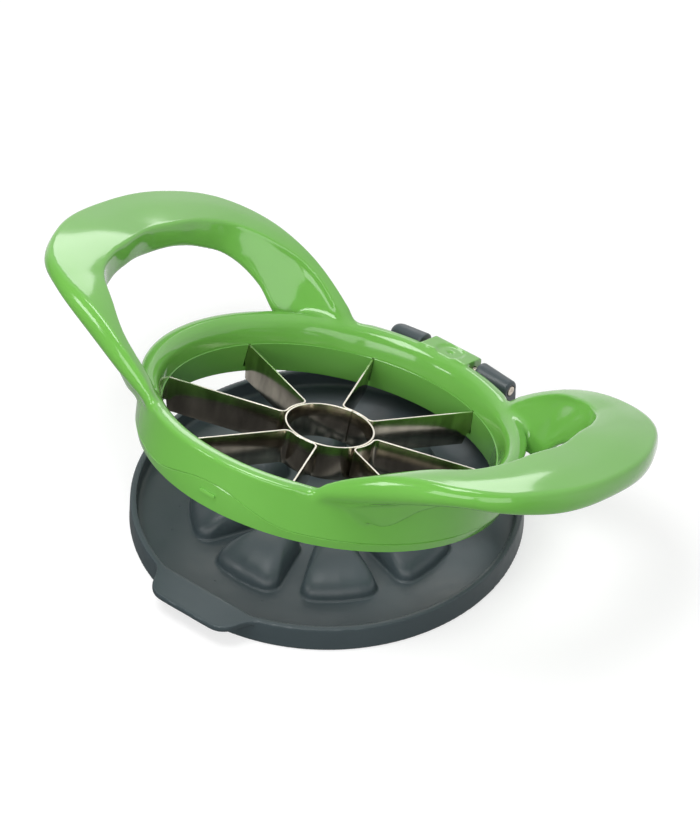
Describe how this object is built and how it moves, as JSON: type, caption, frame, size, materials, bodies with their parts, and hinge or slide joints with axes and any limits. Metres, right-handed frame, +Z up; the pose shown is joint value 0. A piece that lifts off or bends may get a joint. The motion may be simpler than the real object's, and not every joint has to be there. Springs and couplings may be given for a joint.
{
  "type": "hinged apple slicer",
  "caption": "Hinged apple slicer and corer: a looped-handle cutting frame with radial blades swings down over a round base with wedge pushers.",
  "frame": {"origin": "centre of the base's underside, on the table", "axes": "+X from the left handle to the right handle, +Y from the front tab to the hinge, +Z up"},
  "size_m": [0.2038, 0.1334, 0.0771],
  "materials": {
    "slate_plastic": "satin moulded plastic, dark blue-grey",
    "green_gloss": "glossy moulded plastic, apple green",
    "blade_steel": "rolled stainless strip with ground edges",
    "fastener_steel": "bright steel"
  },
  "bodies": {
    "base": {"base_plate": "slate_plastic", "hinge_pin": "fastener_steel"},
    "cutting_frame": {"handle_frame": "green_gloss", "blade_collar": "green_gloss", "corer_ring": "blade_steel", "blade_pair_1": "blade_steel", "blade_pair_2": "blade_steel", "blade_pair_3": "blade_steel", "blade_pair_4": "blade_steel", "collar_screw_1": "fastener_steel", "collar_screw_2": "fastener_steel", "collar_screw_3": "fastener_steel", "collar_screw_4": "fastener_steel"}
  },
  "joints": [
    {"name": "base_hinge", "type": "hinge", "parent": "base", "child": "cutting_frame", "pos_m": [0, 0.0621, 0.0222], "axis": [-1, 0, 0], "range_deg": [-16.2, 152]}
  ]
}
